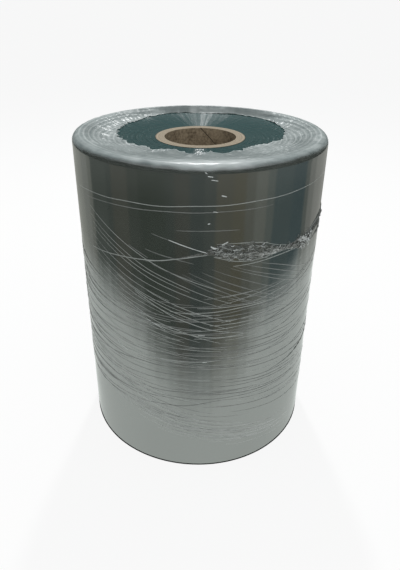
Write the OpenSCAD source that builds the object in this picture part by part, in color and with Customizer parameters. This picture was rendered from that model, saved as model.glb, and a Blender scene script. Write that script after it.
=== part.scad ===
// Roll of clear film on a paper core, standing on its end in a hand-applied stretch wrap.
// Millimetres. +Z is the winding axis, the origin is on that axis at the surface it stands on,
// and the side seen from the front faces -Y.

/* [Paper core] */
// Bore that slides over a shaft or chuck
core_bore_d = 76.8; // [70:0.2:80]
// Thickness of the wound paperboard wall
core_wall = 9.6; // [4:0.2:14]
// Height that the innermost ply's seam climbs in one turn
seam_pitch = 240; // [120:10:400]
// Width of the open seam between the edges of the innermost ply
seam_w = 1.4; // [0.8:0.1:3]
// Depth of the innermost ply
ply_t = 0.7; // [0.4:0.1:1.2]

/* [Film roll] */
// Width of the film web, which is the length of the roll and of its core
web_w = 350; // [200:10:600]
// Outer diameter of the wound film
roll_d = 266; // [200:2:340]
// Width of the bands of turns that show as rings on the ends
band_w = 5; // [4:0.5:12]
// Depth of the step between two bands
band_step = 0.3; // [0.2:0.1:1]
// Bevel where the outer turns meet the ends
roll_bevel = 0.8; // [0.4:0.2:2]

/* [Stretch wrap] */
// Thickness of the wrap's many layers on the side
wrap_t = 1.2; // [0.8:0.1:3]
// Thickness of the wrap folded under the roll
base_t = 1.4; // [0.8:0.1:3]
// Thickness of the torn edge that lies on the end of the roll
edge_t = 1; // [0.6:0.1:2]
// Height that the bunched rim stands above the end of the film
rim_rise = 8; // [2:0.5:12]
// Rounding of the rim seen from the side
rim_round = 8; // [4:0.5:12]
// Rounding of the lower edge
foot_round = 4; // [2:0.5:8]
// Width of bare film between the core and the torn edge, at the front
bare_front = 18; // [8:1:30]
// Width of the wrap that is folded over the upper end, at the back
fold_back = 16; // [14:1:40]
// Depth of the teeth along the torn edge
tooth = 3.6; // [0:0.2:4]
// Width of the wrap folded under the roll
under_w = 45; // [20:1:70]

/* [Pleats] */
// Number of pleats down the side, with the gathered strand as one of them
pleats = 12; // [6:1:13]
// Width of a pleat at its foot
pleat_w = 2.6; // [2:0.2:5]
// Height that a pleat stands proud of the side
pleat_h = 1.3; // [0.4:0.1:1.6]
// Height by which a pleat lies above its mean on the left, and below it on the right
pleat_swing = 34; // [0:1:36]
// Height of the gathered strand above the surface
strand_z = 268; // [120:1:560]
// Width of the strand at its foot
strand_w = 8; // [4:0.5:10]
// Height that the strand stands proud of the side
strand_h = 4; // [1.5:0.5:6]

/* [Fits] */
// Gap between the core and the innermost turn
core_fit = 0.1; // [0.05:0.05:0.3]
// Gap between the wrap and the film, round the side and at both ends
wrap_fit = 0.2; // [0.1:0.05:0.4]

/* [Hidden] */

core_r = core_bore_d / 2 + core_wall;
film_bore_r = core_r + core_fit;
roll_r = roll_d / 2;

// The wrap's fold under the roll carries the film and the core.
roll_z = base_t + wrap_fit;
end_z = roll_z + web_w;

// The flat sides of the wrap's skin stay clear of the round film between their corners.
around = 96;
corner_share = 1 / cos(180 / around);
skin_in_r = (roll_r + wrap_fit) * corner_share;
skin_r = skin_in_r + wrap_t;
under_r = roll_r - under_w;
rim_z = end_z + rim_rise;
lid_z = end_z + wrap_fit;
side_top = rim_z - rim_round;

// The torn edge lies close to the core at the front and close to the rim at the back.
torn_front_r = core_r + bare_front;
torn_back_r = roll_r - fold_back;

// Waves that make up the torn edge's bites: how many go round, where they start, and their
// share of the teeth's depth
tear_waves = [[9, 190, 1], [17, 40, 0.55], [31, 0, 0.4]];
// The folded wrap lies in low ripples, this many round the roll.
ripple_h = 0.45;
ripples = 12;
ripple_start = 30;
lid_steps = 5;
round_steps = 4;

// The pleats are spaced evenly between the rim and the foot, and the one nearest to the
// strand's height is gathered into it.
pleat_pitch = (side_top - foot_round) / (pleats + 1);
strand_pleat = round((side_top - strand_z) / pleat_pitch);
// The wrap was pulled lowest on the right, where this angle points, so that the pleats fall
// to the right across the front.
low_angle = 0;
// Pleats lie level near the foot and the strand, and swing fully this far from them.
swing_reach = 90;
// Neighbours lean towards each other and apart by this share of their spacing, this many times
// round the roll, and each starts its lean a little further round than the one above.
lean_share = 0.22;
lean_waves = 3;
lean_shift = 110;
// Pleats fade out over this many places above the smooth foot, and the last one is faint.
fade_places = 3;
fade_last = 0.5;
// A pleat's height changes along its way by this share, and each starts at another place.
waning = 0.25;
waning_shift = 50;
// The strand's lumps: their share of its size, and how many go round
lump_share = 0.2;
lumps = 23;
lump_groups = 14;
// The strand is gathered thickest to the right of the front, and fades out on both sides.
gather_angle = -52;
gather_half = 58;

// Sum of a list
function sum(list, k = 0) = k < len(list) ? list[k] + sum(list, k + 1) : 0;

// Smooth rise from 0 to 1
function ease(t) = let (u = min(1, max(0, t))) u * u * (3 - 2 * u);

// Distance from the axis to the torn edge, with broad lobes and sharper teeth between them
function torn_edge_r(a) =
    (torn_back_r + torn_front_r) / 2 + (torn_back_r - torn_front_r) / 2 * sin(a)
    + tooth * sum([for (w = tear_waves) w[2] * sin(w[0] * a + w[1])]);

// Height of the folded wrap's upper side, from its torn edge (share 0) to the rim (share 1)
function lid_top(a, share) =
    lid_z + edge_t + (rim_z - lid_z - edge_t) * ease(share)
    + ripple_h * sin(ripples * a + ripple_start) * sin(180 * share);

// Share of the swing that a pleat has at height z, from 0 to 1
function swing_share(z) =
    ease((z - foot_round) / swing_reach) * ease((strand_z - z) / swing_reach);

// Height of pleat j at angle a
function pleat_z(j, a) =
    let (level = side_top - j * pleat_pitch, share = swing_share(level))
    level - pleat_swing * share * cos(a - low_angle)
    + pleat_pitch * lean_share * share * sin(lean_waves * a + lean_shift * j);

// How strongly the strand is gathered at angle a, from 0 to 1
function gathered(a) =
    let (off = abs(((a - gather_angle + 540) % 360) - 180))
    1 - ease(off / gather_half);

// Height and width of pleat j at angle a. Plain pleats fade in and out along the way and near
// the smooth foot, and the strand is lumpy.
function pleat_size(j, a) =
    j == strand_pleat
    ? let (
            g = gathered(a),
            lump = 1 - lump_share * (1 - sin(lumps * a) * cos(lump_groups * a))
        )
        [pleat_h + (strand_h * lump - pleat_h) * g, pleat_w + (strand_w * lump - pleat_w) * g]
    : let (
            above_foot = ease((pleats + 1 + fade_last - j) / fade_places),
            change = 1 - waning * (1 - sin(2 * a + waning_shift * j))
        )
        [pleat_h * above_foot * change, pleat_w];

// Points of pleat j on the side at angle a: its upper foot, its crest and its lower foot
function pleat_points(j, a) =
    let (z = pleat_z(j, a), size = pleat_size(j, a))
    [[skin_r, z + size[1] / 2], [skin_r + size[0], z], [skin_r, z - size[1] / 2]];

// Points of the wrap's section at angle a, as [radius, height], from the torn edge over the
// rim, down the side, under the roll and back along the film
function section(a) =
    let (
        edge = torn_edge_r(a),
        rim_in = skin_r - rim_round,
        turn = 90 / round_steps
    )
    concat(
        [[edge, lid_z]],
        [for (k = [0:lid_steps - 1])
            [edge + (rim_in - edge) * k / lid_steps, lid_top(a, k / lid_steps)]],
        [for (k = [0:round_steps])
            [rim_in + rim_round * sin(turn * k), side_top + rim_round * cos(turn * k)]],
        [for (j = [1:pleats]) each pleat_points(j, a)],
        [for (k = [0:round_steps])
            [skin_r - foot_round * (1 - cos(turn * k)), foot_round * (1 - sin(turn * k))]],
        [[under_r, 0], [under_r, base_t], [skin_in_r, base_t], [skin_in_r, lid_z]]
    );

// Closed skin swept round the axis, with a section of the same number of points at each angle
module swept_skin() {
    angles = [for (i = [0:around - 1]) 360 * i / around];
    sections = [for (a = angles) section(a)];
    count = len(sections[0]);
    points = [for (i = [0:around - 1]) for (p = sections[i])
        [p[0] * cos(angles[i]), p[0] * sin(angles[i]), p[1]]];
    faces = [for (i = [0:around - 1]) for (j = [0:count - 1])
        let (
            next = (i + 1) % around,
            below = (j + 1) % count,
            here = i * count + j,
            here_below = i * count + below,
            there = next * count + j,
            there_below = next * count + below
        )
        each [[here, here_below, there_below], [here, there_below, there]]];
    polyhedron(points = points, faces = faces, convexity = 6);
}

// Helical gap between the edges of the innermost ply, cut through both ends
module ply_seam() {
    bore_r = core_bore_d / 2;
    // The gap starts inside the bore and runs past both ends.
    cut_in = 1;
    cut_past = 2 * seam_w;
    steps_per_turn = 36;
    turns = (web_w + 2 * cut_past) / seam_pitch;
    steps = ceil(turns * steps_per_turn);
    // The seam leaves the upper end at the middle of the back.
    top_angle = 90;
    half_w = seam_w / 2;
    corners = [[-cut_in, -half_w], [-cut_in, half_w], [ply_t, half_w], [ply_t, -half_w]];
    points = [for (k = [0:steps]) let (
            z = end_z + cut_past - k * seam_pitch / steps_per_turn,
            a = top_angle - (end_z - z) / seam_pitch * 360
        )
        for (c = corners) [(bore_r + c[0]) * cos(a), (bore_r + c[0]) * sin(a), z + c[1]]];
    sides = [for (k = [0:steps - 1]) for (c = [0:3])
        let (d = (c + 1) % 4, low = 4 * k, high = 4 * (k + 1))
        each [[low + c, high + d, high + c], [low + c, low + d, high + d]]];
    last = 4 * steps;
    ends = [[0, 3, 2], [0, 2, 1], [last, last + 1, last + 2], [last, last + 2, last + 3]];
    polyhedron(points = points, faces = concat(sides, ends), convexity = 8);
}

// Steps along one end of the film, from the bore outwards: each band leans up to its outer
// edge and then falls to the next one.
function end_bands() =
    let (count = floor((roll_r - roll_bevel - film_bore_r) / band_w), lean_part = 0.9)
    [for (b = [0:count - 1]) each [
        [film_bore_r + b * band_w, -band_step],
        [film_bore_r + (b + lean_part) * band_w, 0]
    ]];

module core() {
    past = 1;
    color("burlywood")
    difference() {
        translate([0, 0, roll_z])
            cylinder(r = core_r, h = web_w, $fn = 96);
        translate([0, 0, roll_z - past])
            cylinder(d = core_bore_d, h = web_w + 2 * past, $fn = 96);
        ply_seam();
    }
}

module film_roll() {
    bands = end_bands();
    count = len(bands);
    upper = [for (p = bands) [p[0], end_z + p[1]]];
    lower = [for (k = [count - 1:-1:0]) [bands[k][0], roll_z - bands[k][1]]];
    color("darkslategray")
    rotate_extrude($fn = 96)
        polygon(concat(
            upper,
            [[roll_r - roll_bevel, end_z], [roll_r, end_z - roll_bevel]],
            [[roll_r, roll_z + roll_bevel], [roll_r - roll_bevel, roll_z]],
            lower
        ));
}

module stretch_wrap() {
    color("lightslategray", 0.5)
    swept_skin();
}

core();
film_roll();
stretch_wrap();
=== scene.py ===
# %% [markdown]
# # A roll of clear film in its stretch wrap
#
# This notebook dresses a measured model of a film roll. The roll is three real things: a
# paperboard core, many turns of clear shrink film wound on it, and a stretch wrap that somebody
# pulled round it by hand to keep it clean. The solids come from the CAD model, which is the
# frame for all that follows. Nothing in the frame is moved: a piece that needs more life than
# its solid has is built anew in the same place, and says which solid it stands for.

# %% Load the frame
import math
import bpy
import numpy as np
from mathutils import Matrix, Vector, noise


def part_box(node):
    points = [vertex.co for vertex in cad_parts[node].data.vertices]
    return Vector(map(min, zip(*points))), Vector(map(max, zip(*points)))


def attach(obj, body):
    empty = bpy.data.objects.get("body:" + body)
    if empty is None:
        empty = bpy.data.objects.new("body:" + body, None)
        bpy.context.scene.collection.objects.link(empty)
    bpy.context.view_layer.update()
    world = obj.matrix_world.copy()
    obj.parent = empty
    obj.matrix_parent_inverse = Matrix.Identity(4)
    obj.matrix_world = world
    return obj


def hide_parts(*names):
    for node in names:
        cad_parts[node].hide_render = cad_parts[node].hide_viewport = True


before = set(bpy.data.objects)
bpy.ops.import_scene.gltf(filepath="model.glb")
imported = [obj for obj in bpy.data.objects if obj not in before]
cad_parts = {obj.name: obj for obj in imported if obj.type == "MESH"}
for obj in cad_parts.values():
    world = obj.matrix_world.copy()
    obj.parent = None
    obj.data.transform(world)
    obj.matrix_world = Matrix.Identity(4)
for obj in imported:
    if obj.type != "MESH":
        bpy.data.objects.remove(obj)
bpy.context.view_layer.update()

MM = 0.001
print("nodes", sorted(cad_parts))

# %% [markdown]
# Every size below is read from the frame or is a real size in millimetres. The places on the
# roll are given as a photographer would say them: a facing angle, which is 0 at the front and
# grows towards the right, and a height above the floor.

# %% Read the roll's sizes from the frame
roll_low, roll_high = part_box("film_roll")
core_low, core_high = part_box("core")
ROLL_R = (roll_high.x - roll_low.x) / 2
CORE_R = (core_high.x - core_low.x) / 2
CORE_WALL = 9.6 * MM
BORE_R = CORE_R - CORE_WALL
END_Z = roll_high.z
RIM_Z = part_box("stretch_wrap")[1].z
# The wrap is 1.2 mm thick on the side, and the rest is its gap to the film.
SKIN_R = ROLL_R + 1.5 * MM
RIM_ROUND = 8 * MM
FOOT_ROUND = 4 * MM
UNDER_W = 45 * MM
print("roll", round(ROLL_R / MM, 1), "end", round(END_Z / MM, 1), "rim", round(RIM_Z / MM, 1))


# %% Turn facing angles, radii and heights into points
def place(radius, facing, height):
    """Points from radii, facing angles in degrees and heights, which may be arrays."""
    turn = np.radians(facing)
    radius, turn, height = np.broadcast_arrays(radius, turn, height)
    return np.stack([radius * np.sin(turn), -radius * np.cos(turn), height], axis=-1)


def ease(t):
    """Smooth rise from 0 to 1."""
    t = np.clip(t, 0, 1)
    return t * t * (3 - 2 * t)


def angle_off(facing, middle):
    """How many degrees facing lies from middle, the shorter way round."""
    return np.abs((facing - middle + 180) % 360 - 180)


print("front of the skin", place(SKIN_R, 0, 0.1).round(4))

# %% [markdown]
# Film never lies perfectly still. To bend a sheet a little everywhere, a sum of a few sine waves
# with random turns and phases works well, because it closes up by itself after a full turn round
# the roll. A noise texture would show a seam there. The random numbers are seeded, so that the
# roll looks the same each time.


# %% Soft random waves that close up round the roll
def soft_waves(facing, height, seed, count, turns, pitch):
    """Sum of waves, about -1 to 1: up to turns of them go round and pitch is their height."""
    dice = np.random.default_rng(seed)
    total = np.zeros(np.broadcast(facing, height).shape)
    for _ in range(count):
        round_the_roll = dice.integers(0, turns + 1)
        climb = dice.uniform(-2, 2) * math.pi / pitch
        phase = dice.uniform(0, 2 * math.pi)
        total = total + np.sin(round_the_roll * np.radians(facing) + climb * height + phase)
    return total / math.sqrt(count)


print("waves at the front", soft_waves(np.zeros(1), np.array([0.1]), 3, 9, 6, 0.1).round(3))


# %% [markdown]
# Film, creases and cloths are all sheets, and a sheet is easy to build from rows of points: each
# four neighbours make one face. The helpers below number the faces, build the object and hand it
# over to the frame, with its finish, the body it rides on and the solids it stands for.


# %% Make a mesh from a grid of points
def grid_quads(rows, columns, closed=False):
    """Corners of the faces between rows of points; closed joins the last column to the first."""
    index = np.arange(rows * columns).reshape(rows, columns)
    after = np.roll(index, -1, axis=1)
    if not closed:
        index, after = index[:, :-1], after[:, :-1]
    return np.stack([index[:-1], index[1:], after[1:], after[:-1]], axis=-1).reshape(-1, 4)


def new_thing(name, points, faces, smooth=True):
    """Object in the scene, from a list of points and the corners of its faces."""
    mesh = bpy.data.meshes.new(name)
    mesh.from_pydata(points, [], faces)
    mesh.shade_smooth() if smooth else mesh.shade_flat()
    thing = bpy.data.objects.new(name, mesh)
    bpy.context.scene.collection.objects.link(thing)
    return thing


def sheet_mesh(name, points, closed=True, smooth=True):
    """Object whose mesh joins the rows of points."""
    quads = grid_quads(*points.shape[:2], closed)
    return new_thing(name, points.reshape(-1, 3).tolist(), quads.tolist(), smooth)


print("a grid of 3 by 4 points has", len(grid_quads(3, 4)), "faces")


# %% Give a piece its finish and its place in the frame
def mark_points(piece, name, values):
    """Keeps one number for each point of the mesh, for its material to read."""
    layer = piece.data.attributes.new(name, "FLOAT", "POINT")
    layer.data.foreach_set("value", np.asarray(values, np.float32).ravel())


def part_of_roll(piece, material, slot, *nodes):
    """The piece gets its finish, rides on the one body of the roll and replaces its solids."""
    piece.data.materials.append(material)
    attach(piece, "root")
    if nodes:
        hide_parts(*nodes)
    print(piece.name, len(piece.data.polygons), "faces")


print("all pieces will ride on the body root")

# %% [markdown]
# ## The finishes
#
# A material is a small graph of nodes. It could be drawn by hand in the shader editor, but a
# script keeps its numbers where they can be read and changed. The helper below starts a graph
# with a Principled shader and adds nodes in short lines. Numbers that are the same all over the
# surface are set on the shader itself.


# %% Helper for building a material
class Graph:
    """A material with its Principled shader, whose sockets are named with underscores."""

    def __init__(self, name, **settings):
        self.material = bpy.data.materials.new(name)
        self.material.use_nodes = True
        self.tree = self.material.node_tree
        self.shader = self.tree.nodes["Principled BSDF"]
        for socket, value in settings.items():
            self.shader.inputs[socket.replace("_", " ")].default_value = value
        coordinates = self.tree.nodes.new("ShaderNodeTexCoord")
        self.where = coordinates.outputs["Object"]
        self.normal = coordinates.outputs["Normal"]

    def add(self, kind, inputs=None, **settings):
        """A new node; inputs holds numbers or the outputs of other nodes."""
        node = self.tree.nodes.new("ShaderNode" + kind)
        for key, value in settings.items():
            setattr(node, key, value)
        for key, value in (inputs or {}).items():
            if isinstance(value, bpy.types.NodeSocket):
                self.tree.links.new(value, node.inputs[key])
            else:
                node.inputs[key].default_value = value
        return node

    def drive(self, **links):
        """Links outputs to the shader's sockets and gives back the finished material."""
        for socket, value in links.items():
            self.tree.links.new(value, self.shader.inputs[socket.replace("_", " ")])
        return self.material


print("the helper can", [word for word in vars(Graph) if word[0] != "_"])

# %% [markdown]
# The recipes of the finishes use the same few words again and again: a noise, a ramp of colours,
# a mix of two, a bump. So each word is one short line that adds its node and gives back what
# comes out of it.


# %% Words for the recipes
class Finish(Graph):
    """A graph with short words for the nodes that the finishes share."""

    def math(self, operation, first, second=0.0):
        """One operation on two numbers, such as ADD."""
        return self.add("Math", {0: first, 1: second}, operation=operation).outputs[0]

    def noise(self, scale, detail=3.0, where=None, **inputs):
        """Cloudy noise from 0 to 1; a large scale makes it fine."""
        values = {"Vector": where or self.where, "Scale": scale, "Detail": detail, **inputs}
        return self.add("TexNoise", values).outputs["Fac"]

    def ramp(self, value, *stops):
        """Colours at places along a value, as (place, colour) pairs."""
        node = self.add("ValToRGB", {"Fac": value})
        elements = node.color_ramp.elements
        while len(elements) < len(stops):
            elements.new(0.5)
        for element, (spot, colour) in zip(elements, stops):
            element.position = spot
            element.color = (*colour, 1)
        return node.outputs["Color"]

    def grey(self, value, low, high):
        """A value from 0 to 1, spread from low to high."""
        return self.add("MapRange", {"Value": value, "To Min": low, "To Max": high}).outputs[0]

    def mix(self, share, first, second):
        """The first colour where share is 0, and the second where it is 1."""
        node = self.add("Mix", data_type="RGBA")
        for socket, value in ((node.inputs["Factor"], share), (node.inputs[6], first),
                              (node.inputs[7], second)):
            if isinstance(value, bpy.types.NodeSocket):
                self.tree.links.new(value, socket)
            else:
                socket.default_value = (*value, 1) if isinstance(value, tuple) else value
        return node.outputs[2]

    def around(self):
        """Radius, facing angle in turns and height of the shaded point, as three outputs."""
        split = self.add("SeparateXYZ", {"Vector": self.where}).outputs
        square = self.math("ADD", self.math("MULTIPLY", split["X"], split["X"]),
                           self.math("MULTIPLY", split["Y"], split["Y"]))
        turn = self.math("DIVIDE", self.math("ARCTAN2", split["X"], split["Y"]), 2 * math.pi)
        return self.math("SQRT", square), turn, split["Z"]

    def bump(self, height, distance, strength=1.0, below=None):
        """A normal bent by a height; below is the normal that it is laid on."""
        inputs = {"Height": height, "Distance": distance, "Strength": strength}
        if below:
            inputs["Normal"] = below
        return self.add("Bump", inputs).outputs["Normal"]


print("words for the recipes:", [word for word in vars(Finish) if word[0] != "_"])


# %% [markdown]
# ### Film seen on its edge
#
# The end of the roll shows the cut edges of more than a thousand turns. Clear film is dark
# blue-green when it is looked at through its edge, and each batch of turns stands a hair higher
# or lower than the next, so the end is a disc of very fine rings. A one-dimensional noise that
# reads only the distance from the axis draws rings of every width at once. The finest grooves
# would be too small for a bump. They spread a highlight across the rings, never along them, which
# makes the fan of light on the end. Turning the shader's stretched highlight to point at the axis
# gives the same. Marks of the blade that cut the film run from the core outwards and split the
# fan into rays, so a noise that reads only the angle dims the shine between them.

# %% Finish of the wound film
film = Finish("film_turns", Roughness=0.17, IOR=1.45, Anisotropic=1.0,
              Anisotropic_Rotation=0.25)
radius, turn, _ = film.around()
fine_rings = film.add("TexNoise", {"W": radius, "Scale": 1400.0, "Detail": 2.0},
                      noise_dimensions="1D").outputs["Fac"]
broad_rings = film.add("TexNoise", {"W": radius, "Scale": 380.0, "Detail": 3.0},
                       noise_dimensions="1D").outputs["Fac"]
ring_tone = film.mix(0.5, fine_rings, broad_rings)
teal = film.ramp(ring_tone, (0.30, (0.024, 0.056, 0.056)), (0.55, (0.038, 0.078, 0.079)),
                 (0.72, (0.056, 0.104, 0.105)))
round_the_axis = film.add("Tangent", direction_type="RADIAL", axis="Z").outputs["Tangent"]
blade_marks = film.add("TexNoise", {"W": film.math("MULTIPLY", turn, 95.0), "Scale": 1.0,
                                    "Detail": 2.0}, noise_dimensions="1D").outputs["Fac"]
shine = film.ramp(blade_marks, (0.45, (0.12, 0.12, 0.12)), (0.62, (0.46, 0.46, 0.46)))
film_finish = film.drive(Base_Color=teal, Normal=film.bump(broad_rings, 0.8 * MM, 0.3),
                         Tangent=round_the_axis, Specular_IOR_Level=shine)
print("film finish", len(film.tree.nodes), "nodes")

# %% [markdown]
# ### Paperboard
#
# The core is wound from glued strips of kraft paper. Its ends show the edges of the plies as
# faint rings. Its wall is mottled with fibres that lie along the winding, so the noise for the
# fibres is stretched along a slanting direction. The bore is painted darker than the ends, as
# painted shade inside the tube, and the gap between the edges of the innermost strip is painted
# nearly black, as painted shade in that groove. The material knows the wall by its normal, which
# lies level there, and the gap by its radius.

# %% Finish of the paper core
board = Finish("kraft_paperboard", Roughness=0.85, IOR=1.35)
radius, _, _ = board.around()
plies = board.add("TexNoise", {"W": radius, "Scale": 1500.0, "Detail": 1.0},
                  noise_dimensions="1D").outputs["Fac"]
fibre_place = board.add("Mapping", {"Vector": board.where, "Scale": (1.0, 1.0, 0.35),
                                    "Rotation": (0.5, 0.3, 0.0)}).outputs["Vector"]
fibres = board.noise(620.0, 6.0, fibre_place, Roughness=0.65)
mottle = board.noise(70.0, 3.0)
tone = board.mix(0.65, fibres, plies)
kraft = board.ramp(tone, (0.32, (0.13, 0.105, 0.075)), (0.50, (0.29, 0.245, 0.18)),
                   (0.66, (0.46, 0.40, 0.31)))
kraft = board.mix(board.grey(mottle, 0.0, 0.30), kraft, (0.32, 0.25, 0.17))
facing_up = board.add("SeparateXYZ", {"Vector": board.normal}).outputs["Z"]
in_bore = board.math("LESS_THAN", board.math("ABSOLUTE", facing_up), 0.5)
specks = board.mix(0.4, board.noise(420.0, 4.0), mottle)
# Painted shade: the bore's wall gets a darker colour than the ends of the core.
bore_painted_shade = board.ramp(specks, (0.36, (0.13, 0.100, 0.066)), (0.62, (0.34, 0.275, 0.19)))
kraft = board.mix(in_bore, kraft, bore_painted_shade)
# Painted shade: the walls of the seam groove are painted nearly black.
in_seam = board.math("GREATER_THAN", radius, BORE_R + 0.15 * MM)
kraft = board.mix(board.math("MULTIPLY", in_seam, in_bore), kraft, (0.035, 0.025, 0.015))
board_finish = board.drive(Base_Color=kraft, Normal=board.bump(fibres, 0.3 * MM, 0.5))
print("board finish", len(board.tree.nodes), "nodes")

# %% [markdown]
# ### Stretch wrap on the side
#
# The wrap is clear, but several tight layers of it over dark film act like one thick, polished
# skin: every surface between two layers throws back some light, and together they mirror much
# more than one sheet of plastic would. A high index of refraction on a dark base gives that,
# with a faint green from the film below. Fine streaks run along the pull of the wrap. They bend
# the reflections a little, so they are a shallow bump from a noise that is stretched sideways,
# strongest round the middle of the side.

# %% Finish of the wrap on the side
skin = Finish("wrap_skin", IOR=3.15, Roughness=0.06, Specular_Tint=(0.97, 1.0, 0.975, 1))
_, turn, height = skin.around()


def pulled_streaks(finish, turn, height, slant, seed):
    """Noise in long streaks that slant across the unrolled side; slant is rise over run."""
    per_metre_along, per_metre_across = 9.0, 260.0
    along = finish.math("MULTIPLY", turn, 2 * math.pi * SKIN_R)
    leaning = finish.math("ADD", height, finish.math("MULTIPLY", along, slant))
    spot = finish.add("CombineXYZ", {"X": finish.math("MULTIPLY", along, per_metre_along),
                                     "Y": finish.math("MULTIPLY", leaning, per_metre_across),
                                     "Z": seed}).outputs["Vector"]
    return finish.noise(1.0, 0.5, spot)


falling = pulled_streaks(skin, turn, height, 0.40, 0.3)
level = pulled_streaks(skin, turn, height, -0.05, 4.7)
middle = skin.ramp(height, (0.03, (0.15, 0.15, 0.15)), (0.12, (1, 1, 1)), (0.24, (0.7, 0.7, 0.7)),
                   (0.30, (0.12, 0.12, 0.12)))
clouds = skin.noise(14.0, 3.0)
dark_film = skin.ramp(clouds, (0.35, (0.022, 0.026, 0.023)), (0.65, (0.034, 0.039, 0.035)))
streaks = skin.math("MULTIPLY", skin.mix(0.5, falling, level), middle)
skin_normal = skin.bump(streaks, 0.16 * MM, 0.6)
on_rim = skin.ramp(height, (0.347, (0.5, 0.5, 0.5)), (0.354, (0.46, 0.46, 0.46)))
skin_finish = skin.drive(Base_Color=dark_film, Normal=skin_normal, Specular_IOR_Level=on_rim,
                         Roughness=skin.grey(clouds, 0.045, 0.085))
print("skin finish", len(skin.tree.nodes), "nodes")

# %% [markdown]
# ### Creases and white folds
#
# Where the wrap is creased, the creases are painted a little lighter than the skin, some more
# than others, and a sharp fold whiter still: partly film whitened by the pull, and partly painted
# highlight for the light that the thin lines catch. Plain finishes are enough for them, because
# the pieces are as narrow as a thread.

# %% Finishes of creases and white folds
crease_finish = Finish("wrap_crease", IOR=2.6, Roughness=0.14,
                       Base_Color=(0.12, 0.128, 0.122, 1)).material
# Painted highlight in part: the pale and white finishes are lighter than the film they lie on.
pale_and_highlight_finish = Finish("wrap_pale_crease", IOR=2.2, Roughness=0.20,
                     Base_Color=(0.29, 0.31, 0.295, 1)).material
white_and_highlight_finish = Finish("wrap_white_fold", IOR=1.7, Roughness=0.22,
                      Base_Color=(0.60, 0.63, 0.62, 1)).material
print("three plain finishes")

# %% [markdown]
# ### Stretch wrap over the end
#
# Where it is folded over the end, the wrap is slack and hazy: a grey veil that still lets the
# dark film through. The points of that piece carry two numbers: how thick the veil is there, and
# how white. The material turns them into opacity and colour.

# %% Finish of the folded wrap
veil = Finish("wrap_veil", Roughness=0.35, IOR=1.5, Specular_IOR_Level=0.24)
radius, _, height = veil.around()
thick = veil.add("Attribute", attribute_name="veil").outputs["Fac"]
white = veil.add("Attribute", attribute_name="white").outputs["Fac"]
folds = veil.add("TexNoise", {"W": radius, "Scale": 420.0, "Detail": 3.0},
                 noise_dimensions="1D").outputs["Fac"]
cloud = veil.noise(75.0, 4.0)
haze = veil.mix(0.45, cloud, folds)
veil_colour = veil.ramp(haze, (0.30, (0.21, 0.25, 0.25)), (0.55, (0.31, 0.35, 0.345)),
                        (0.78, (0.42, 0.46, 0.455)))
# The white number whitens the veil; part of it is painted light: a painted highlight at the front
# of the rim and painted light at the back.
veil_colour = veil.mix(white, veil_colour, (0.86, 0.90, 0.89))
opacity = veil.math("MULTIPLY", thick, veil.grey(haze, 0.82, 1.15))
ledges = veil.add("TexNoise", {"W": height, "Scale": 800.0, "Detail": 2.0},
                  noise_dimensions="1D").outputs["Fac"]
veil_normal = veil.bump(cloud, 0.9 * MM, 0.3, below=veil.bump(folds, 0.6 * MM, 0.4))
veil_normal = veil.bump(ledges, 0.5 * MM, 0.35, below=veil_normal)
veil_finish = veil.drive(Base_Color=veil_colour, Alpha=opacity, Normal=veil_normal)
print("veil finish", len(veil.tree.nodes), "nodes")

# %% [markdown]
# ## The core and the wound film
#
# Both keep their solids from the frame, because a tube and a wound roll are exactly what a lathe
# profile gives. They only need their finishes.

# %% Dress the two solids
for node, material in (("core", board_finish), ("film_roll", film_finish)):
    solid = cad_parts[node]
    solid.data.materials.clear()
    solid.data.materials.append(material)
    print(node, "wears", material.name)

# %% [markdown]
# ## The skin of the wrap
#
# On the side the wrap follows the film closely. It could be a cylinder with a bump texture, but
# its reflections would then run in straight bands. Real film has slow hills that make them sway,
# so the skin is a fine grid of points, from the rim over the side to the foot and a little way
# under the roll, whose radius changes by a fraction of a millimetre.

# %% Profile of the skin, from the rim to the underside
side_top = RIM_Z - RIM_ROUND
round_rim = [(SKIN_R - RIM_ROUND * (1 - math.sin(a)), side_top + RIM_ROUND * math.cos(a))
             for a in np.radians(np.linspace(0, 90, 10))]
side = [(SKIN_R, z) for z in np.linspace(side_top, FOOT_ROUND, 112)[1:]]
round_foot = [(SKIN_R - FOOT_ROUND * (1 - math.cos(a)), FOOT_ROUND * (1 - math.sin(a)))
              for a in np.radians(np.linspace(0, 90, 7))[1:]]
under = [(r, 0.3 * MM) for r in np.linspace(SKIN_R - FOOT_ROUND - 3 * MM, ROLL_R - UNDER_W, 4)]
profile = np.array(round_rim + side + round_foot + under)
print("profile", len(profile), "points, lowest", profile[:, 1].min() / MM)


# %% Hills and folds of the skin
def skin_relief(facing, height):
    """How far the skin stands off the plain side, in metres; it is calmer at rim and foot."""
    lively = ease((0.32 - height) / 0.08) * ease((height - 0.02) / 0.06)
    slow = 0.16 * MM * soft_waves(facing, height, 5, 12, 6, 0.20)
    sag = 0.10 * MM * soft_waves(facing, height, 8, 14, 12, 0.035)
    return slow * (0.4 + 0.6 * lively) + sag * (0.15 + 0.85 * lively)


columns = 640
facing = np.linspace(-180, 180, columns, endpoint=False)[None, :]
skin_r = profile[:, :1] + np.zeros_like(facing)
skin_z = profile[:, 1:] + np.zeros_like(facing)
on_side = ease((skin_r - (SKIN_R - RIM_ROUND)) / RIM_ROUND) * (skin_z > 1 * MM)
skin_r = skin_r + on_side * skin_relief(facing, skin_z)
wrap_side = sheet_mesh("wrap_side", place(skin_r, facing, skin_z))
part_of_roll(wrap_side, skin_finish, "wrap", "stretch_wrap")

# %% [markdown]
# ## The wrap folded over the end
#
# The end of the wrap was gathered over the roll and torn off by hand. Its edge is a row of
# bites: between two sharp tips the film gave way in an arc. A list of tips at uneven angles, with
# an arc between each pair, looks more like a tear than any noise does. The edge lies close to the
# core at the front and close to the rim at the back. Its broad shape comes from points that were
# picked along it in the photograph. A separate script followed their sight lines to the end of
# the film, and the angles and radii it gave were rounded and corrected by hand.


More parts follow.
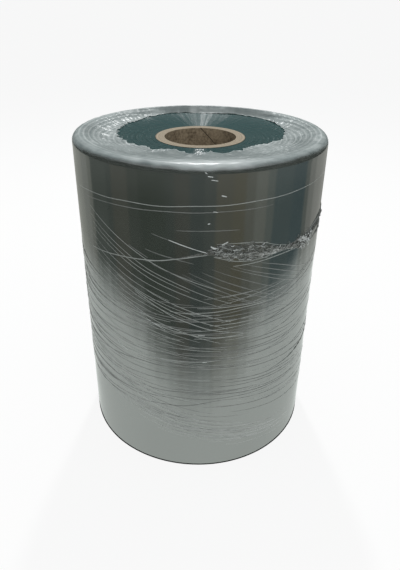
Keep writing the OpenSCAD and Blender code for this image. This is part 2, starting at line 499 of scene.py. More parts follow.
# %% The torn edge
def torn_edge(facing, seed=11):
    """Radius of the torn edge at each facing angle, in metres."""
    # Broad shape of the edge: facing angles, and the radius in mm at each
    spots = [-180, -172, -160, -150, -141, -128, -110, -92, -75, -63, -52, -36, -23, -8, 3, 9,
             17, 25, 32, 48, 62, 66, 75, 85, 98, 106, 117, 132, 146, 158, 168, 180]
    radii = [118, 122, 123, 115, 107, 102, 96, 89, 83, 77, 71, 74, 60, 71, 69, 64,
             72, 71, 66, 66, 69, 76, 78, 88, 93, 99, 104, 114, 120, 121, 118, 118]
    base = np.interp(facing, spots, radii) * MM
    dice = np.random.default_rng(seed)
    tips = np.cumsum(dice.uniform(4, 12, 80)) - 180
    tips = np.concatenate([[-180], tips[tips < 180 - 6], [180]])
    bite = np.searchsorted(tips, facing, side="right").clip(1, len(tips) - 1)
    start, stop = tips[bite - 1], tips[bite]
    arc = np.sin(math.pi * (facing - start) / (stop - start)) ** 0.7
    depth = dice.uniform(0.5, 5.0, len(tips))[bite] * MM * (stop - start) / 10
    # The edge is nearly smooth at the right of the back, and frayed at the left.
    smooth_part = 1 - 0.75 * ease((facing - 120) / 20) * (1 - ease((facing - 156) / 10))
    torn_hard = 1 - ease((angle_off(facing, -110) - 35) / 25)
    frayed = (0.6 + 0.9 * torn_hard) * MM * soft_waves(facing, 0 * facing, 4, 12, 120, 1.0)
    return base + (depth * arc - 1.5 * MM + frayed) * smooth_part


print("torn edge at the front", (torn_edge(np.zeros(1)) / MM).round(1), "mm from the axis")

# %% [markdown]
# From the torn edge the wrap runs out to the rim, where it is bunched up several millimetres
# above the film, and down over the rounding until it disappears in the tight skin of the side.
# On the way it has three kinds of folds: long rings near the rim, short pleats that point at the
# core on the left of the back, where the most film was gathered, and slight wrinkles all over.


# %% Heights of the folded wrap
GATHERED_AT = -125


def pleat_wave(facing):
    """0 to 1: uneven pleats that point at the core."""
    return np.abs(np.sin(np.radians(facing * 46 + 40 * np.sin(np.radians(facing * 5)))))


def ring_wave(facing, radius):
    """-1 to 1: long rings that wander a little on their way round."""
    return np.sin(radius / MM * 1.25 + 1.5 * np.sin(np.radians(facing * 2)))


def lid_height(facing, share, radius):
    """Height above the film's end, in metres; share is 0 at the torn edge and 1 at the rim."""
    edge_mm = 0.4
    climb = (edge_mm + (RIM_Z - END_Z) / MM * ease(share) ** 1.2 - edge_mm * share) * MM
    ring = 0.28 * MM * ring_wave(facing, radius)
    rings = ring * ease((share - 0.25) / 0.3) * (1 - ease((share - 0.85) / 0.15))
    gathered = 1 - ease(angle_off(facing, GATHERED_AT) / 48)
    pleats = (0.10 + 0.2 * gathered) * MM * pleat_wave(facing) * (1 - ease(share / 0.4))
    wrinkles = 0.20 * MM * soft_waves(facing, radius, 31, 16, 90, 0.012)
    wrinkles = wrinkles * (1 - ease((share - 0.9) / 0.1))
    loose = ease(soft_waves(facing, 0 * radius, 6, 8, 14, 1))
    lifted = 0.8 * MM * (1 - ease(share / 0.12)) * loose
    return climb + rings + pleats + wrinkles + lifted


print("highest pleat wave", pleat_wave(np.arange(-180.0, 180.0)).max().round(2))

# %% Lay the folded wrap on the end
lid_columns = 720
lid_facing = np.linspace(-180, 180, lid_columns, endpoint=False)[None, :]
lid_edge = torn_edge(lid_facing)
share = np.concatenate([np.linspace(0, 0.1, 6), np.linspace(0.1, 1, 42)[1:]])[:, None]
lid_r = lid_edge + (SKIN_R - RIM_ROUND - lid_edge) * share
lid_z = END_Z + lid_height(lid_facing, share, lid_r)
print("folded wrap", lid_r.shape, "highest", (lid_z.max() / MM).round(1))

# %% [markdown]
# The folded wrap doesn't end at the rim. It goes over the rounding and is pressed into the tight
# skin of the side. More rows of points carry the same mesh over, so that no gap can show between
# the two. They stand a quarter of a millimetre off the skin.

# %% Carry it over the rim
bend = np.radians(np.linspace(84, 10, 16))[:, None]
rim_wrinkles = soft_waves(lid_facing, bend * 0.01, 23, 12, 70, 0.004)
rim_puff = RIM_ROUND + 0.25 * MM + 0.10 * MM * rim_wrinkles
rim_r = SKIN_R - RIM_ROUND + rim_puff * np.cos(bend)
rim_z = side_top + rim_puff * np.sin(bend)
lid_points = np.concatenate([place(lid_r, lid_facing, lid_z), place(rim_r, lid_facing, rim_z)])
wrap_end = sheet_mesh("wrap_folded_end", lid_points)
print("rim reaches", (lid_points[..., 2].max() / MM).round(1))

# %% [markdown]
# A clear film looks grey where many layers of it lie in folds, and white where it is pinched. A
# single noise can't know where that is, so the maker says it for each point: the veil is thin at
# the front near its torn edge, and it hangs down over the rim in a ragged fringe, lowest at the
# sides and at the back. The white number also carries painted light: a painted highlight along
# the front of the rim, and painted light that makes the back lighter. The next cells write the
# two numbers that the finish reads.

# %% How thick the veil is
FRONT_AT = 6
off_front = angle_off(lid_facing, FRONT_AT)
flat_veil = 0.86 + 0.09 * soft_waves(lid_facing, lid_r, 13, 12, 9, 0.05)
flat_veil = flat_veil - 0.25 * (1 - ease(share / 0.25)) * ease(1 - angle_off(lid_facing, 0) / 70)
flat_veil = np.maximum(flat_veil, 1 - ease(share / 0.02)) + 0.2 * ease((share - 0.86) / 0.14)
ragged = 3 * soft_waves(lid_facing, 0 * bend, 27, 10, 50, 1.0)
hangs_low = 12 * (1 - ease(off_front / 30)) + 22 * ease((off_front - 42) / 36)
rim_veil = ease((np.degrees(bend) - 24 + hangs_low + ragged) / 36) + np.zeros_like(lid_facing)
mark_points(wrap_end, "veil", np.clip(np.concatenate([flat_veil, rim_veil]), 0, 1.1))
print("mean veil on the end", flat_veil.mean().round(2), "and on the rim", rim_veil.mean().round(2))

# %% How white it is, with painted light at the rim and the back
gathered = 1 - ease(angle_off(lid_facing, GATHERED_AT) / 50)
tips_white = 0.28 * (1 - ease(share / 0.035))
pleats_white = 0.35 * gathered * pleat_wave(lid_facing) ** 8 * (1 - ease((share - 0.02) / 0.16))
arcs = (0.5 + 0.5 * ring_wave(lid_facing, lid_r)) ** 4
arcs_white = 0.26 * arcs * ease(np.abs(np.sin(np.radians(lid_facing))) * 2 - 0.9)
smears_white = 0.25 * ease(soft_waves(lid_facing, lid_r, 37, 18, 40, 0.02) - 0.9)
# Painted highlight: the front of the rim is painted whiter.
in_front = 1 - ease((off_front - 6) / 20)
painted_rim_highlight = 0.34 * in_front * ease((share - 0.72) / 0.25)
# Painted light: the back of the folded wrap is painted lighter.
painted_light_at_back = 0.22 * (1 - ease(angle_off(lid_facing, 180) / 60))
flat_white_and_painted_light = tips_white + pleats_white + arcs_white + smears_white + painted_light_at_back + painted_rim_highlight
# On the rim: random white, and a painted highlight at the front.
rim_white_and_painted_highlight = 0.12 * ease(soft_waves(lid_facing, rim_z, 41, 14, 24, 0.01)) + 0.34 * in_front
mark_points(wrap_end, "white", np.clip(np.concatenate([flat_white_and_painted_light, rim_white_and_painted_highlight]), 0, 1))
part_of_roll(wrap_end, veil_finish, "wrap")

# %% [markdown]
# ## Creases
#
# Where the wrap was pulled round the roll, it left long fine creases. High on the left they fall
# to the right side by side, like the strings of a harp. Round the middle they lie almost level,
# and near the foot only a few soft ones are left. They could be drawn as a bump, but a bump is
# too soft for lines this thin, so each crease is a narrow ridge of its own, high in the middle
# and running out at both ends, laid on the skin.


# %% One crease as a narrow ridge
def crease(path, tall=0.35, wide=1.2, seed=0, sway=0.4, above=0.0):
    """Rows of points along a ridge through (facing, height) places.

    Heights and sizes are in mm; sway is how far it strays, and above its distance to the skin.
    """
    places = np.array(path, float)
    steps = 24 + int(abs(places[-1, 0] - places[0, 0]))
    t = np.linspace(0, 1, steps)
    spots = np.linspace(0, 1, len(places))
    blur = np.ones(9) / 9
    line = [np.convolve(np.pad(np.interp(t, spots, places[:, k]), 4, mode="reflect",
                               reflect_type="odd"), blur, "valid") for k in (0, 1)]
    angle, middle = line[0][:, None], line[1][:, None]
    t = t[:, None]
    middle = middle + sway * soft_waves(angle * 3, 0 * t, seed, 6, 5, 1.0)
    swell = np.sin(math.pi * (0.02 + 0.96 * t)) ** 0.7
    lumpy = 0.75 + 0.25 * soft_waves(angle * 11, 0 * t, seed + 500, 5, 9, 1.0)
    across = np.array([-1.0, -0.45, 0.0, 0.45, 1.0])[None, :]
    lift = np.array([-0.35, 0.55, 1.0, 0.55, -0.35])[None, :]
    height = (middle + across * wide / 2 * (0.5 + 0.5 * swell)) * MM
    radius = SKIN_R + skin_relief(angle, height) + (above + lift * tall * swell * lumpy) * MM
    return place(radius, angle, height)


def strips(name, rows):
    """One object from many separate strips."""
    points, faces, base = [], [], 0
    for strip in rows:
        points.append(strip.reshape(-1, 3))
        faces.append(base + grid_quads(*strip.shape[:2]))
        base += len(points[-1])
    return new_thing(name, np.concatenate(points).tolist(), np.concatenate(faces).tolist())


print("a crease of", crease([(-10, 300), (10, 299)]).shape, "points")


# %% [markdown]
# One pull of the hand leaves a whole family of creases, which start side by side and fall the
# same way, none quite like its neighbour. Drawing hundreds by hand would take days, and full
# chance would look like scratches. So a family is told only where its first and last crease
# start, how long they are and how fast they fall. The others lie between, each with a little
# chance of its own.


# %% A family of creases that were pulled together
def family(count, first, last, reach, fall, seed, chance=(2.0, 2.0), tall=0.35, wide=1.2):
    """Creases whose starts run from one (facing, height) place to another.

    reach and fall give the length in degrees and the fall in mm per degree of the first and
    the last crease, and chance is how far each strays from its place.
    """
    dice = np.random.default_rng(seed)
    found = []
    for k in range(count):
        t = k / max(count - 1, 1)
        start = np.array(first) + (np.array(last) - np.array(first)) * t
        start = start + dice.uniform(-1, 1, 2) * chance
        long = (reach[0] + (reach[1] - reach[0]) * t) * dice.uniform(0.8, 1.15)
        drop = (fall[0] + (fall[1] - fall[0]) * t) * long + dice.uniform(-1, 1) * chance[1]
        middle = start + np.array([long * 0.5, -drop * 0.56])
        path = [start, middle, start + np.array([long, -drop])]
        found.append(crease(path, tall * dice.uniform(0.7, 1.2), wide * dice.uniform(0.8, 1.2),
                            seed * 50 + k))
    return found


print("a family of", len(family(3, (0, 200), (0, 180), (20, 20), (0.1, 0.1), 1)), "creases")

# %% [markdown]
# Some creases can be told apart in the photograph, such as the two hoops under the rim and the
# ones that run into the strand, so each of these has places of its own. They were picked in the
# photograph and turned into angles and heights in the same way as the torn edge. Those that
# mirror the dark surroundings go in one list, and those that are painted whitish, partly as
# whitened film and partly as painted highlight, go in the other.

# %% Hoops near the rim and single creases at the front
clear = [crease([(-9, 299), (4, 299.5), (16, 299)], 0.28, 1.0, 3, 0.2),
         crease([(-30, 277), (-21, 268)], 0.3, 1.2, 6),
         crease([(-22, 277), (-2, 266)], 0.3, 1.1, 7),
         crease([(-19, 262), (-2, 248)], 0.3, 1.1, 8),
         crease([(-19, 293.5), (-12, 289)], 0.25, 0.8, 32, 0.2),
         crease([(36, 124), (53, 128), (66, 131), (84, 142)], 0.9, 2.2, 11),
         crease([(-62, 135), (-28, 144), (2, 143)], 0.4, 1.3, 12),
         crease([(-34, 87), (-6, 93), (14, 100)], 0.4, 1.3, 13)]
clear += [crease([(-58, 311), (-31, 315), (0, 317), (30, 319)], 0.28, 0.9, 2, 0.3)]
pale = [crease([(-64, 316), (-31, 320.5), (0, 322.5), (36, 326), (68, 329)], 0.30, 0.9, 1, 0.3),
        crease([(-54, 258), (-33, 263), (-16, 266), (-4, 273), (6, 276)], 0.4, 1.2, 4),
        crease([(-22, 264), (-10, 270), (2, 275)], 0.35, 1.1, 5),
        crease([(14, 262), (30, 264), (52, 266), (74, 272)], 0.4, 1.1, 9),
        crease([(-5, 212), (16, 215), (36, 217), (66, 222)], 0.4, 1.3, 14),
        crease([(10, 201), (37, 206), (62, 210)], 0.35, 1.1, 15),
        crease([(-57, 203), (-33, 205), (-13, 191), (4, 183), (20, 181)], 0.35, 1.1, 16),
        crease([(-28, 228), (-11, 207), (4, 193), (20, 184)], 0.45, 1.3, 17),
        crease([(-22, 232), (0, 211), (14, 200)], 0.3, 1.0, 18),
        crease([(-61, 158), (-34, 153), (1, 152), (24, 156)], 0.35, 1.2, 19),
        crease([(6, 272.5), (14, 267.5), (21, 266), (28, 266.5), (34, 268.5), (46, 269)], 0.6,
               1.1, 20, 0.5),
        crease([(7, 286), (20, 285.5), (27, 283), (33, 277), (42, 271)], 0.45, 0.9, 21, 0.5)]
print(len(clear) + len(pale), "single creases")

# %% [markdown]
# The table lists the families from the rim to the foot. Nobody can see the back of the roll, but
# a wrap is pulled the same way all round, so the same families lie there once more, turned half
# round and with other chances.

# %% Families at the front, and again behind with other chances
# list, how many, first and last start, lengths, falls, seed, chance, height and width of a crease
FAMILIES = [
    (pale, 11, (-52, 303), (-52, 228), (62, 34), (1.10, 0.90), 11, (1.2, 1.5), 0.28, 0.85),
    (clear, 9, (-12, 256), (26, 262), (44, 54), (1.10, 0.75), 12, (2, 2), 0.26, 1.0),
    (pale, 7, (-40, 238), (-62, 176), (46, 50), (1.0, 0.35), 13, (4, 3), 0.30, 0.9),
    (clear, 26, (-88, 250), (-84, 84), (36, 70), (0.50, 0.0), 14, (10, 6), 0.42, 1.3),
    (pale, 24, (-86, 238), (-80, 96), (30, 60), (0.60, 0.1), 24, (14, 8), 0.30, 0.8),
    (clear, 16, (-44, 222), (-34, 104), (40, 70), (0.20, 0.05), 15, (14, 4), 0.32, 1.1),
    (pale, 20, (-30, 214), (-24, 112), (24, 50), (0.30, 0.1), 25, (18, 6), 0.26, 0.75),
    (clear, 26, (0, 228), (10, 84), (44, 70), (-0.16, 0.25), 16, (16, 5), 0.42, 1.3),
    (pale, 22, (4, 232), (14, 90), (30, 60), (-0.30, 0.3), 26, (18, 7), 0.28, 0.8),
    (clear, 9, (28, 222), (36, 140), (50, 50), (-0.60, -0.25), 17, (8, 4), 0.35, 1.2),
    (pale, 20, (-62, 132), (-6, 60), (44, 52), (0.85, 0.45), 18, (10, 7), 0.30, 1.5),
    (pale, 16, (-50, 86), (10, 36), (50, 44), (0.45, 0.35), 19, (10, 6), 0.28, 1.4),
    (clear, 10, (-56, 110), (0, 52), (50, 50), (0.55, 0.30), 28, (12, 8), 0.20, 1.0)]
for half_turn in (0, 180):
    for group, count, first, last, reach, fall, seed, chance, tall, wide in FAMILIES:
        group += family(count, (first[0] + half_turn, first[1]), (last[0] + half_turn, last[1]),
                        reach, fall, seed + half_turn, chance, tall, wide)
part_of_roll(strips("wrap_creases", clear), crease_finish, "wrap")
part_of_roll(strips("wrap_pale_creases", pale), pale_and_highlight_finish, "wrap")

# %% [markdown]
# Here and there the film is painted white, partly as film pinched so hard that it turned white
# and partly as painted glints: on the slanting crease that runs into the strand, at the strand's
# beginning, and as flecks under the rim.

# %% White folds and flecks
whites = [crease([(-12, 289), (-7, 285), (-1, 280.5)], 0.5, 1.1, 31, 0.2),
          crease([(-1, 280.5), (6, 275.5)], 0.5, 1.1, 33, 0.2),
          crease([(4.6, 283.5), (6.2, 281), (8.6, 282.5)], 1.6, 2.6, 34, 0.8),
          crease([(8.4, 284), (11.4, 287.5)], 1.2, 1.8, 35, 0.3),
          crease([(3.2, 279), (8.0, 277), (12, 276)], 0.6, 1.2, 36, 0.6),
          crease([(8.2, 332.2), (10.2, 331.2)], 0.8, 1.4, 37, 0.4),
          crease([(2.9, 350.2), (4.9, 349.4)], 0.6, 1.2, 38, 0.2),
          crease([(4.3, 346.6), (6.8, 345.8)], 0.6, 1.0, 39, 0.2),
          crease([(1.8, 353.6), (2.8, 352.4)], 0.4, 0.8, 40, 0.2),
          crease([(3.2, 306.2), (4.2, 306.6)], 0.6, 1.2, 41, 0.1),
          crease([(5.2, 318), (7.2, 317.4)], 0.5, 0.9, 42, 0.2),
          crease([(-23, 199), (-14, 189)], 0.3, 0.7, 43, 0.1),
          crease([(-40, 155), (-34, 150)], 0.3, 0.7, 44, 0.1),
          crease([(0, 186), (3, 185.6)], 0.4, 0.8, 45, 0.2),
          crease([(2, 152), (4, 152)], 0.4, 0.8, 46, 0.2)]
part_of_roll(strips("wrap_white_folds", whites), white_and_highlight_finish, "wrap")

# %% [markdown]
# ## The gathered strand
#
# To the right of the front, the loose end of the wrap was twisted and stuck down. It is a patch
# of crumpled film that narrows to a strand, thickens to a knot and runs on round the right. Its
# facets catch the light in sparks, so the mesh is bent by a ridged noise with sharp folds, and
# every facet is left flat. A simulated cloth would fold softly and couldn't be placed so well.
# The sharpest folds are painted white, partly as film whitened by folding and partly as painted
# glints, so the points also carry how sharp the fold is there.

# %% Finish of the crumpled film
foil = Finish("wrap_crumpled", Roughness=0.09, IOR=2.5)
fold_white_and_glint = foil.add("Attribute", attribute_name="white").outputs["Fac"]
# Painted glints in part: the sharper the fold, the whiter its colour.
foil_finish = foil.drive(Base_Color=foil.ramp(
    fold_white_and_glint, (0.25, (0.034, 0.037, 0.031)), (0.60, (0.10, 0.107, 0.098)), (1.0, (0.50, 0.52, 0.51))))
print("crumpled finish")


# %% Outline of the strand
def crumple_height(points, scale):
    """Ridged noise at points, up to 1: sharp folds between smooth facets."""
    ridges = [1 - abs(noise.noise(Vector(p) * scale)) * 2 for p in points.reshape(-1, 3)]
    return np.clip(np.array(ridges).reshape(points.shape[:-1]), 0, 1)


# Facing angles along the strand, and at each its height, half its width and how far it stands
# off the skin, in mm. The first three were read off the photograph in the same way.
strand_facing = [-8, -2, 2, 5, 8, 14, 20, 27, 33, 38, 44, 47, 51, 55, 60, 66, 73, 84]
strand_middle = [271, 275, 277, 278.5, 279, 277, 275.5, 274.5, 272, 270, 269.5, 269, 269.5, 271,
                 274, 278, 282, 284]
strand_half = [0.6, 0.9, 1.3, 4.5, 7, 9.3, 9.5, 8, 4, 2.4, 3, 5.5, 8.5, 6, 3.2, 3.5, 3, 1]
strand_lift = [0.5, 0.8, 1.0, 1.8, 1.8, 1.5, 1.3, 1.3, 1.5, 1.8, 2.2, 3.0, 3.6, 3.0, 2.6, 3.2,
               2.4, 0.4]
along = np.linspace(strand_facing[0], strand_facing[-1], 260)[:, None]
across = np.linspace(-1, 1, 40)[None, :]
middle = np.interp(along, strand_facing, strand_middle)
half = np.interp(along, strand_facing, strand_half)
lift = np.interp(along, strand_facing, strand_lift)
ragged = 1 + 0.18 * soft_waves(along * 4, across * 0, 51, 8, 20, 1.0) * np.abs(across)
height = (middle + half * across * ragged) * MM
print("strand between", (height.min() / MM).round(), "and", (height.max() / MM).round(), "mm")

# %% Crumple it
run = SKIN_R * np.radians(along) + 0 * height
long_folds = crumple_height(np.stack([0.35 * run, height + 0.25 * run, 0 * run], -1), 230)
short_folds = crumple_height(np.stack([run, height, 0 * run + 0.7], -1), 480)
folds = 0.65 * long_folds ** 3 + 0.35 * short_folds ** 2
print("half of the folds are sharper than", np.median(folds).round(2))

# %% Build it, and say where it is white, with painted glints
crown = (1 - across ** 2) ** 0.6
radius = SKIN_R + MM * (-0.5 + 0.6 * crown + lift * crown * (0.1 + 0.9 * folds))
wrap_strand = sheet_mesh("wrap_strand", place(radius, along, height), closed=False, smooth=False)
KNOT_AT, KNOT_HALF = 51, 7
in_knot = ease(1 - np.abs(along - KNOT_AT) / KNOT_HALF)
fold_white_and_glints = folds * (0.85 + 0.75 * in_knot)
fold_white_and_glints = fold_white_and_glints + 0.15 * soft_waves(along * 2, height, 53, 12, 20, 0.01)
mark_points(wrap_strand, "white", np.clip(fold_white_and_glints, 0, 1))
part_of_roll(wrap_strand, foil_finish, "wrap")

# %% [markdown]
# Loose threads of film lie over the patch in small curls, most of them in the knot. They are
# short creases at random places within the strand's outline.


# %% Curled threads on the strand
def threads(count, first, last, long, seed, tall, wide):
    """Short curls between two facing angles; long is their length in mm."""
    dice = np.random.default_rng(seed)
    parts = 3
    found = []
    for k in range(count):
        facing = dice.uniform(first, last)
        room = np.interp(facing, strand_facing, strand_half) * 0.85
        height = np.interp(facing, strand_facing, strand_middle) + dice.uniform(-1, 1) * room
        heading, curl = dice.uniform(-50, 50), dice.uniform(-70, 70)
        step = long * dice.uniform(0.5, 1.2) / parts
        path = [(facing, height)]
        for part in range(parts):
            turn = math.radians(heading + curl * part)
            path.append((path[-1][0] + math.degrees(step * MM / SKIN_R) * math.cos(turn),
                         path[-1][1] + step * math.sin(turn)))
        rise = np.interp(facing, strand_facing, strand_lift) * dice.uniform(0.4, 0.9)
        found.append(crease(path, tall, wide, seed * 100 + k, 0.1, rise))
    return found


# Their pale and white finishes are partly painted glints.
pale_curls = threads(70, 5, 40, 7, 71, 0.45, 0.7) + threads(24, 45, 58, 5, 72, 0.5, 0.7)
white_curls = threads(22, 6, 36, 4, 73, 0.6, 0.8) + threads(26, 47, 56, 4.5, 74, 0.7, 0.9)
part_of_roll(strips("wrap_pale_curls", pale_curls), pale_and_highlight_finish, "wrap")
part_of_roll(strips("wrap_white_curls", white_curls), white_and_highlight_finish, "wrap")

# %% [markdown]
# Behind the knot the strand splits in two ropes, and both show on the roll's outline. A rope of
# twisted film is nothing but a tall crease, so the same helper makes them.

# %% Ropes behind the knot
ropes = [crease([(50, 272), (60, 279), (68, 284), (80, 287), (104, 288)], 1.4, 2.2, 61, 0.8),
         crease([(50, 266), (60, 265), (68, 265.5), (82, 270), (100, 280)], 1.2, 2.2, 62, 0.8),
         crease([(34, 271), (44, 268.5), (52, 266)], 0.9, 1.8, 63, 0.6)]
part_of_roll(strips("wrap_ropes", ropes), crease_finish, "wrap")

# %% [markdown]
# ## The camera
#
# The camera stands where the photographer held theirs: at about half a metre from the roll,
# looking down at it, with a hand's slight lean. Its place comes from fitting the roll's outline
# in the photograph.

# %% Camera
EYE = Vector((0, -0.5744, 0.49035))
TALL_PX, FOCAL_PX = 570, 530.6
SENSOR_MM = 36
camera_data = bpy.data.cameras.new("camera")
camera = bpy.data.objects.new("camera", camera_data)
bpy.context.scene.collection.objects.link(camera)
bpy.context.scene.camera = camera
camera_data.sensor_fit = "VERTICAL"
camera_data.sensor_height = SENSOR_MM
camera_data.lens = FOCAL_PX * SENSOR_MM / TALL_PX
camera_data.clip_end = 200
# How far it looks down and to the right, and how far it leans, in radians
pitch, yaw, lean = 0.51047, 0.00313, 0.01349
ahead = Vector((math.sin(yaw) * math.cos(pitch), math.cos(yaw) * math.cos(pitch),
                -math.sin(pitch)))
level_line = Vector((math.cos(yaw), -math.sin(yaw), 0))
upright = level_line.cross(ahead)
right = level_line * math.cos(lean) + upright * math.sin(lean)
top = upright * math.cos(lean) - level_line * math.sin(lean)
camera.matrix_world = Matrix((
    (right.x, top.x, -ahead.x, EYE.x),
    (right.y, top.y, -ahead.y, EYE.y),
    (right.z, top.z, -ahead.z, EYE.z),
    (0, 0, 0, 1)))
bpy.context.scene.view_settings.view_transform = "Standard"
print("lens", round(camera_data.lens, 2), "mm")

# %% [markdown]
# ## The studio
#
# The roll stands on a pale sheet that takes its shadow. To the camera and in reflections the
# sheet also glows a little, so that it looks nearly white without more light on the roll. A
# polished upright cylinder mirrors the ground round its foot, so most of its look comes from
# what lies there: the pale sheet close to the foot makes the lower part light, and the darker
# things further out make the upper part dark. Product photographers lay dark cloths on the
# ground for that. Here the cloth is a painted reflection: it glows with its own colours, lit by
# no lamp, and it shows only in reflections, so that it doesn't spoil the sheet.


# %% Helpers for the studio
def stage_mesh(name, points, faces, material, only_mirrored=True):
    """Piece of the studio; only_mirrored hides it from all but reflections."""
    thing = new_thing(name, points, faces, smooth=False)
    thing.data.materials.append(material)
    if only_mirrored:
        thing.visible_camera = thing.visible_diffuse = thing.visible_shadow = False
    print(name, len(thing.data.polygons), "faces")
    return thing


def bare_material(name):
    """Material without a shader yet, and its nodes."""
    material = bpy.data.materials.new(name)
    material.use_nodes = True
    material.node_tree.nodes.remove(material.node_tree.nodes["Principled BSDF"])
    return material, material.node_tree


print("two helpers for the studio")

# %% Floor
floor_finish, tree = bare_material("pale_floor")
paper = tree.nodes.new("ShaderNodeBsdfDiffuse")
paper.inputs["Color"].default_value = (0.90, 0.90, 0.89, 1)
glow = tree.nodes.new("ShaderNodeEmission")
blend = tree.nodes.new("ShaderNodeMixShader")
seen = tree.nodes.new("ShaderNodeLightPath")
shown = tree.nodes.new("ShaderNodeMath")
shown.operation = "MAXIMUM"
GLOW_SHARE = 0.88
share_glow = tree.nodes.new("ShaderNodeMath")
share_glow.operation = "MULTIPLY"
share_glow.inputs[1].default_value = GLOW_SHARE
tree.links.new(seen.outputs["Is Camera Ray"], shown.inputs[0])
tree.links.new(seen.outputs["Is Glossy Ray"], shown.inputs[1])
tree.links.new(shown.outputs[0], share_glow.inputs[0])
tree.links.new(share_glow.outputs[0], blend.inputs[0])
tree.links.new(paper.outputs[0], blend.inputs[1])
tree.links.new(glow.outputs[0], blend.inputs[2])
tree.links.new(blend.outputs[0], tree.nodes["Material Output"].inputs["Surface"])
far = 60.0
stage_mesh("floor", [(-far, -far, 0), (far, -far, 0), (far, far, 0), (-far, far, 0)],
           [(0, 1, 2, 3)], floor_finish, only_mirrored=False)

# %% [markdown]
# To know where to lay the cloth, follow the sight line from the camera to a place on the skin
# and on from there to the floor, as a billiard ball would go. Then the cloth can be laid out by
# what the mirror should show.


# %% Where the skin mirrors the floor
def mirrored_floor(facing, height):
    """Places of the floor that the camera sees in the skin at facing angles and heights."""
    spot = place(SKIN_R, facing, height)
    outward = place(1.0, facing, 0.0) + 0 * spot
    sight = spot - np.array(EYE)
    back = sight - 2 * np.sum(sight * outward, axis=-1, keepdims=True) * outward
    return spot - back * spot[..., 2:] / back[..., 2:]


print("seen in the front at half height", mirrored_floor(0.0, 0.18).round(3))

# %% [markdown]
# In the mirror the roll shows soft upright bands of grey, brown and blue-green, as any dim
# room gives. The numbers were listed and then corrected, render after render, against
# tones measured on the photograph at a coarse grid of places. Towards the foot the bands give
# way to the pale sheet. That edge is soft and hangs lowest in the middle, at heights that were
# read off the photograph.


# %% Bands of colour side by side
def band_colours(facing, stops, blend=0.7):
    """Colours side by side, each up to the next stop's angle, with a narrow blend between."""
    colours = np.zeros((*facing.shape, 3)) + stops[0][1]
    for begin, colour in stops[1:]:
        share = ease((facing - begin) / blend + 0.5)[..., None]
        colours = colours + (np.array(colour) - colours) * share
    return colours


cloth_facing = np.linspace(-80, 80, 321)[None, :]
cloth_height = np.linspace(0.5 * MM, RIM_Z, 90)[:, None]
# Painted reflection: the colours that the cloth glows with, as the mirror should show them.
bands = band_colours(cloth_facing, [
    (-80, (0.16, 0.16, 0.14)), (-74, (0.46, 0.47, 0.43)), (-59, (0.40, 0.41, 0.38)),
    (-53, (0.30, 0.31, 0.28)), (-50, (0.128, 0.145, 0.130)), (-40, (0.104, 0.120, 0.108)),
    (-37, (0.140, 0.142, 0.120)), (-29, (0.098, 0.110, 0.094)), (-24, (0.074, 0.088, 0.072)),
    (-13, (0.082, 0.096, 0.084)), (-9.5, (0.105, 0.106, 0.090)), (-3.5, (0.078, 0.095, 0.090)),
    (2, (0.106, 0.120, 0.110)), (6.4, (0.168, 0.160, 0.125)), (13, (0.185, 0.170, 0.122)),
    (18, (0.205, 0.205, 0.175)), (22, (0.262, 0.270, 0.240)), (27, (0.190, 0.215, 0.200)),
    (30.5, (0.114, 0.155, 0.160)), (40, (0.094, 0.138, 0.150)), (48, (0.20, 0.22, 0.205)),
    (51, (0.36, 0.365, 0.34)), (56, (0.46, 0.46, 0.43)), (72, (0.16, 0.16, 0.14))])
print("bands", bands.shape, "mean", bands.mean().round(3))

# %% Edge of the pale sheet, as the mirror should show it
# Facing angles, and the height on the skin at which the edge shows, in metres
edge_at = [-80, -50, -36, -26, -17, -8, 1, 10, 19, 28, 38, 48, 80]
edge_height = [0.235, 0.222, 0.214, 0.198, 0.160, 0.130, 0.122, 0.138, 0.158, 0.204, 0.221,
               0.244, 0.25]
cloth_edge = np.interp(cloth_facing, edge_at, edge_height)
ragged_edge = 0.005 * soft_waves(cloth_facing * 5, 0 * cloth_facing, 71, 10, 24, 1.0)
fade_at_sides, fade_more_in_front = 0.040, 0.028
fade = fade_at_sides + fade_more_in_front * (1 - ease((np.abs(cloth_facing) - 14) / 22))
pale_ground = ease((cloth_edge + ragged_edge + fade - cloth_height) / (2 * fade))[..., None]
pale_sheet = np.array([0.94, 0.985, 0.955])
LIGHTER_NEAR_RIM = 0.05
near_rim = LIGHTER_NEAR_RIM * ease((cloth_height - 0.315) / 0.04)[..., None]
ground = bands + near_rim + (pale_sheet - bands) * pale_ground
print("ground colours", ground.shape)

# %% [markdown]
# The cloth is one grid of points that carry the colours it glows with, as painted reflection.
# Its last row is drawn out twice, far into the room, so that no edge shows in the mirror. The
# same cloth lies behind the roll too, turned half round and a little lower, for the views from
# behind.

# %% Lay the ground cloth
ring = mirrored_floor(cloth_facing, cloth_height)
further = ring[-1:] * np.array([2.0, 5.0])[:, None, None]
ring = np.concatenate([ring, further])
ABOVE_FLOOR = 1 * MM
ring[..., 2] = ABOVE_FLOOR
ground = np.concatenate([ground, ground[-1:], ground[-1:]])
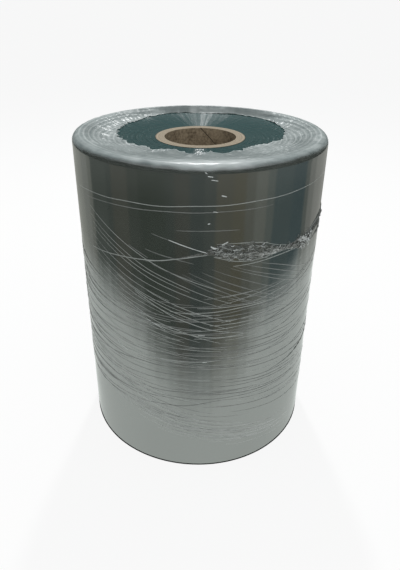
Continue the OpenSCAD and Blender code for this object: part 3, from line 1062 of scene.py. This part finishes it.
# The cloth glows with its colours, lit by no lamp: a painted reflection.
cloth_glow_finish, tree = bare_material("painted_reflection_cloth")
cloth_glow = tree.nodes.new("ShaderNodeEmission")
cloth_tone = tree.nodes.new("ShaderNodeAttribute")
cloth_tone.attribute_name = "tone"
tree.links.new(cloth_tone.outputs["Color"], cloth_glow.inputs["Color"])
tree.links.new(cloth_glow.outputs[0], tree.nodes["Material Output"].inputs["Surface"])
tone_rgba = np.concatenate([ground, np.ones((*ground.shape[:2], 1))], axis=-1)
for name, side in (("painted_reflection_cloth", (1, 1, 1)), ("painted_reflection_cloth_behind", (-1, -1, 0.5))):
    cloth = stage_mesh(name, (ring * side).reshape(-1, 3).tolist(),
                       grid_quads(*ring.shape[:2]).tolist(), cloth_glow_finish)
    tone_layer = cloth.data.attributes.new("tone", "FLOAT_COLOR", "POINT")
    tone_layer.data.foreach_set("color", tone_rgba.astype(np.float32).ravel())

# %% [markdown]
# Where the rounded foot curls under, it no longer mirrors the lit sheet but the shaded wedge
# between roll and sheet, which draws a thin dark line round the foot. A black ring just under
# the rounding is painted shade that stands for the wedge.

# %% Painted shade in the gap at the foot
contact_shade_finish = bpy.data.materials.new("painted_contact_shade")
contact_shade_finish.use_nodes = True
# Painted shade: black, for the shaded wedge under the foot.
contact_shade_finish.node_tree.nodes["Principled BSDF"].inputs["Base Color"].default_value = (0, 0, 0, 1)
GAP_Z = 1.4 * MM
gap_facing = np.linspace(-180, 180, 97)
gap_ring = np.stack([place(ROLL_R - 12 * MM, gap_facing, GAP_Z),
                     place(SKIN_R + 2.2 * MM, gap_facing, GAP_Z)])
stage_mesh("painted_contact_shade", gap_ring.reshape(-1, 3).tolist(),
           grid_quads(*gap_ring.shape[:2]).tolist(), contact_shade_finish)

# %% [markdown]
# The end of the film and the rounding of the rim mirror what stands above the ground all round
# the roll: the shelves and walls of a dim room. A low ring of wall stands for them. Without it
# the blue-green of the film would be washed out, and a light line would part the rim from the
# side. It too shows only in reflections.

# %% Dim wall of the room
wall_finish = bpy.data.materials.new("room_wall")
wall_finish.use_nodes = True
plaster = wall_finish.node_tree.nodes["Principled BSDF"]
plaster.inputs["Base Color"].default_value = (0.16, 0.172, 0.16, 1)
plaster.inputs["Roughness"].default_value = 1.0
WALL_R, WALL_TALL = 2.2, 1.7
wall_facing = np.linspace(0, 360, 73)
wall = np.stack([place(WALL_R, wall_facing, 0.0), place(WALL_R, wall_facing, WALL_TALL)])
stage_mesh("room_wall", wall.reshape(-1, 3).tolist(), grid_quads(*wall.shape[:2]).tolist(),
           wall_finish)

# %% [markdown]
# Most of the light is the even grey of the world. Behind and above the roll hangs a row of four
# narrow lamps, like a ceiling light with its louvre: they draw the fan of rays on the end of the
# film. A broad weak lamp at the front right fills the shadows. It would draw a hard white line in
# the rounding of the rim, so it is hidden from reflections.

# %% World and lamps
world = bpy.data.worlds.new("room")
bpy.context.scene.world = world
world.use_nodes = True
world.node_tree.nodes["Background"].inputs["Color"].default_value = (0.62, 0.64, 0.65, 1)
world.node_tree.nodes["Background"].inputs["Strength"].default_value = 0.75


def soft_lamp(name, spot, aim, wide, tall, power):
    """Flat lamp that points at a place; metres and watts."""
    lamp = bpy.data.lights.new(name, "AREA")
    lamp.shape, lamp.size, lamp.size_y, lamp.energy = "RECTANGLE", wide, tall, power
    thing = bpy.data.objects.new(name, lamp)
    thing.location = spot
    thing.rotation_euler = (Vector(aim) - Vector(spot)).to_track_quat("-Z", "Y").to_euler()
    bpy.context.scene.collection.objects.link(thing)
    print(name, power, "W")
    return thing


AIM = (0, 0, 0.3)
for k, across_room in enumerate((-0.035, -0.018, -0.001, 0.016)):
    soft_lamp(f"ceiling_{k}", (across_room, 0.85, 1.50), AIM, wide=0.016, tall=0.32, power=3.6)
fill = soft_lamp("fill", (0.40, -1.50, 1.50), AIM, wide=1.2, tall=0.8, power=9)
fill.visible_glossy = False

# %% [markdown]
